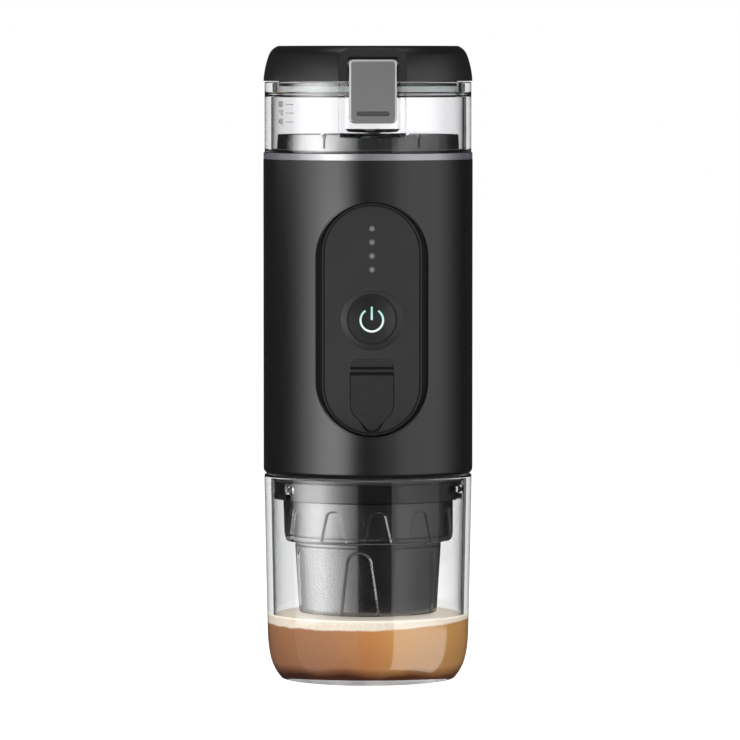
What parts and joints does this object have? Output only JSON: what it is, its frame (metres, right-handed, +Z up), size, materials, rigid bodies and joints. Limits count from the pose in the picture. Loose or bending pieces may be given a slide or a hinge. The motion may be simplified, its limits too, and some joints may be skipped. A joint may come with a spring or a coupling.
{
  "type": "portable electric espresso maker",
  "caption": "Portable battery espresso maker: clear cup below, black steel body with control panel, clear water tank and hinged latched lid on top.",
  "frame": {"origin": "centre of the cup's base on the table", "axes": "+Z up along the machine's axis, -Y out of the control panel's side (the front), +X to the right seen from the front"},
  "size_m": [0.076, 0.085, 0.2297],
  "materials": {
    "clear_plastic": "clear polished plastic",
    "black_rubber": "matt",
    "black_plastic": "glossy black",
    "dark_plastic": "matt black",
    "steel": "satin",
    "aluminium": "satin",
    "sleeve_black": "satin black coating on steel",
    "panel_black": "satin black",
    "light_pipe": "translucent",
    "port_rubber": "satin",
    "board_green": "solder mask",
    "chip_black": "moulded",
    "cell_wrap": "shrink wrap",
    "nickel": "satin",
    "hose_silicone": "translucent silicone",
    "brass": "turned",
    "coil_winding": "enamelled copper",
    "lead_insulation": "silicone insulation",
    "heater_film": "polyimide film",
    "button_black": "satin",
    "symbol_white": "translucent white",
    "lid_liner_grey": "satin",
    "latch_grey": "satin dark grey"
  },
  "bodies": {
    "cup": {"drinking_cup": "clear_plastic"},
    "cup_seal": {"cup_seal": "black_rubber"},
    "pump_piston": {"pump_piston": "steel"},
    "power_button": {"power_button": "button_black", "power_symbol": "symbol_white", "switch_plunger": "dark_plastic"},
    "usb_cover": {"usb_cover": "port_rubber"},
    "brew_gasket": {"brew_gasket": "hose_silicone"},
    "portafilter": {"portafilter_ring": "black_plastic", "filter_basket": "steel", "spout_cone": "black_plastic", "spout_insert": "dark_plastic"},
    "lid": {"lid_shell": "black_plastic", "lid_liner": "lid_liner_grey", "lid_seal": "hose_silicone", "vent_valve": "hose_silicone", "latch_pin": "steel"},
    "latch": {"latch_clip": "latch_grey"},
    "main_body": {"cup_collar": "black_plastic", "brew_head": "dark_plastic", "shower_plate": "steel", "shower_screw": "steel", "bottom_deck": "dark_plastic", "deck_screws": "steel", "frame_posts": "aluminium", "outer_sleeve": "sleeve_black", "panel_bezel": "dark_plastic", "control_panel": "panel_black", "led_light_pipes": "light_pipe", "usb_cover_strap": "port_rubber", "main_board": "board_green", "board_components": "chip_black", "board_screws": "steel", "tact_switch": "chip_black", "usb_socket": "steel", "battery_tray": "dark_plastic", "battery_cells": "cell_wrap", "nickel_strips": "nickel", "battery_clamp": "dark_plastic", "pump_mount": "black_rubber", "pump_outlet": "dark_plastic", "outlet_hose": "hose_silicone", "check_ball": "steel", "check_spring": "steel", "pump_core_tube": "brass", "pump_coil": "coil_winding", "pump_yoke": "steel", "piston_spring": "steel", "inlet_hose": "hose_silicone", "wire_leads": "lead_insulation", "top_deck": "dark_plastic", "water_tank": "clear_plastic", "tank_gasket": "black_rubber", "heater_plate": "steel", "film_heater": "heater_film", "temp_sensor": "chip_black", "inlet_screen": "steel", "guard_ring": "steel", "heater_screws": "steel", "hinge_pin": "steel"}
  },
  "joints": [
    {"name": "cup_lift", "type": "slide", "parent": "cup", "child": "cup_seal", "axis": [0, 0, 1], "range_m": [0, 0.056]},
    {"name": "cup_turn", "type": "hinge", "parent": "cup_seal", "child": "main_body", "pos_m": [0, 0, 0.07305], "axis": [0, 0, 1], "range_deg": [0, 25]},
    {"name": "lid_hinge", "type": "hinge", "parent": "main_body", "child": "lid", "pos_m": [0, 0.041, 0.217], "axis": [-1, 0, 0], "range_deg": [0, 105]},
    {"name": "latch_hinge", "type": "hinge", "parent": "lid", "child": "latch", "pos_m": [0, -0.0396, 0.2232], "axis": [-1, 0, 0], "range_deg": [0, 95]},
    {"name": "button_press", "type": "slide", "parent": "main_body", "child": "power_button", "axis": [0, 1, 0], "range_m": [0, 0.0008], "stiffness_N_per_m": 1500},
    {"name": "usb_cover_hinge", "type": "hinge", "parent": "main_body", "child": "usb_cover", "pos_m": [0, -0.0327, 0.11235], "axis": [-1, 0, 0], "range_deg": [0, 100], "stiffness_Nm_per_rad": 0.0006},
    {"name": "piston_stroke", "type": "slide", "parent": "main_body", "child": "pump_piston", "axis": [0, 0, 1], "range_m": [-0.0025, 0.0025], "stiffness_N_per_m": 2000, "deforming": ["piston_spring"]},
    {"name": "portafilter_turn", "type": "hinge", "parent": "main_body", "child": "brew_gasket", "pos_m": [0, 0, 0.0764], "axis": [0, 0, -1], "range_deg": [0, 402]},
    {"name": "portafilter_drop", "type": "slide", "parent": "brew_gasket", "child": "portafilter", "axis": [0, 0, -1], "range_m": [0, 0.00667]}
  ],
  "couplings": [
    {"joint": "portafilter_turn", "follows": "portafilter_drop", "rad_per_m": 1047.2}
  ]
}
